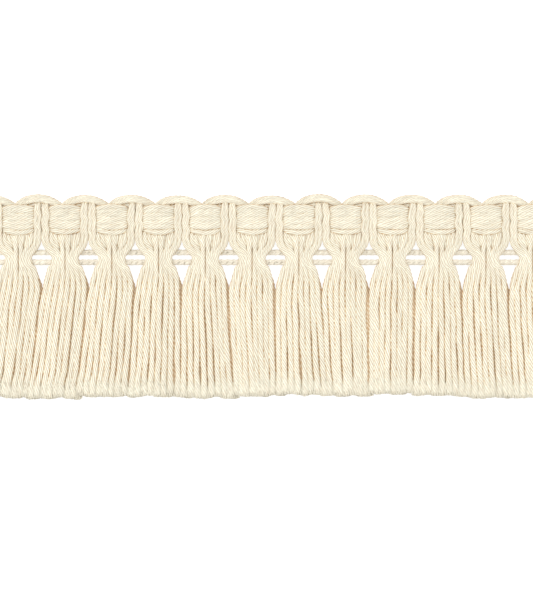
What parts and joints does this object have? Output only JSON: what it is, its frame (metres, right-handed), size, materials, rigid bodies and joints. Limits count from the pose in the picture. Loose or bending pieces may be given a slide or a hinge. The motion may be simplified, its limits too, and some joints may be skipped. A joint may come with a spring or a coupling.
{
  "type": "tassel fringe",
  "caption": "Cut length of cotton tassel fringe lying face up: waisted tassels of loose yarn ends under a woven yarn heading with a scalloped edge and two chain-stitched binder cords.",
  "frame": {"origin": "middle of the underside of the whole fringe, on the surface that it lies on", "axes": "+X along the fringe, +Y from the tassel tips to the scalloped edge, +Z out of the face"},
  "size_m": [0.2148, 0.0754, 0.0056],
  "materials": {
    "tassel_yarn": "undyed cotton yarn of loosely twisted singles, matt and slightly fuzzy",
    "header_yarn": "undyed cotton yarn, matt, laid side by side",
    "edge_yarn": "undyed cotton yarn, matt, in scallops",
    "binder_thread": "undyed cotton thread, matt, in chain stitches"
  },
  "bodies": {
    "root": {"tassel_01": "tassel_yarn", "tassel_02": "tassel_yarn", "tassel_03": "tassel_yarn", "tassel_04": "tassel_yarn", "tassel_05": "tassel_yarn", "tassel_06": "tassel_yarn", "tassel_07": "tassel_yarn", "tassel_08": "tassel_yarn", "tassel_09": "tassel_yarn", "tassel_10": "tassel_yarn", "tassel_11": "tassel_yarn", "tassel_12": "tassel_yarn", "header_band": "header_yarn", "edge_bundle": "edge_yarn", "upper_chain_cord": "binder_thread", "lower_chain_cord": "binder_thread"}
  },
  "joints": []
}
